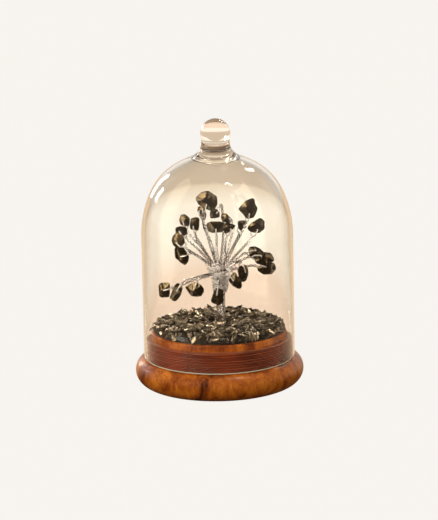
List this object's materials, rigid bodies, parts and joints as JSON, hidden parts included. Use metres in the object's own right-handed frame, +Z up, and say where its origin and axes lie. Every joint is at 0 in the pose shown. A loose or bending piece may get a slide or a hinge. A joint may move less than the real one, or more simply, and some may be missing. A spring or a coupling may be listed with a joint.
{
  "type": "gemstone tree ornament",
  "caption": "Small tree of twisted wire with tumbled stones on its branch tips, on a round wooden base with a bed of chips, under a lift-off glass bell with a ball knob.",
  "frame": {"origin": "middle of the base's underside, on the turning axis of the base and the bell", "axes": "+Z up through the bell's knob, -Y towards the front as pictured, +X to the right as seen from the front"},
  "size_m": [0.0904, 0.0904, 0.145],
  "materials": {
    "wood": "varnished orange-brown burl",
    "band": "glossy maroon, finely ribbed",
    "chips": "dark olive bronze pyrite chips in resin",
    "stone": "tumbled pyrite, polished",
    "wire": "bright drawn wire",
    "glass": "clear blown glass"
  },
  "bodies": {
    "stand": {"wood_base": "wood", "fit_band": "band", "chip_bed": "chips", "trunk": "wire", "trunk_binding": "wire", "branch_01": "wire", "branch_02": "wire", "branch_03": "wire", "branch_04": "wire", "branch_05": "wire", "branch_06": "wire", "branch_07": "wire", "branch_08": "wire", "branch_09": "wire", "branch_10": "wire", "branch_11": "wire", "branch_12": "wire", "branch_13": "wire", "branch_14": "wire", "branch_15": "wire", "branch_16": "wire", "branch_17": "wire", "branch_18": "wire", "branch_19": "wire", "branch_20": "wire", "branch_21": "wire", "branch_22": "wire", "branch_23": "wire", "branch_24": "wire", "stone_01": "stone", "stone_02": "stone", "stone_03": "stone", "stone_04": "stone", "stone_05": "stone", "stone_06": "stone", "stone_07": "stone", "stone_08": "stone", "stone_09": "stone", "stone_10": "stone", "stone_11": "stone", "stone_12": "stone", "stone_13": "stone", "stone_14": "stone", "stone_15": "stone", "stone_16": "stone", "stone_17": "stone", "stone_18": "stone", "stone_19": "stone", "stone_20": "stone", "stone_21": "stone", "stone_22": "stone", "stone_23": "stone", "stone_24": "stone"},
    "bell": {"glass_dome": "glass"}
  },
  "joints": [
    {"name": "dome_lift", "type": "slide", "parent": "stand", "child": "bell", "axis": [0, 0, 1], "range_m": [0, 0.1]}
  ]
}
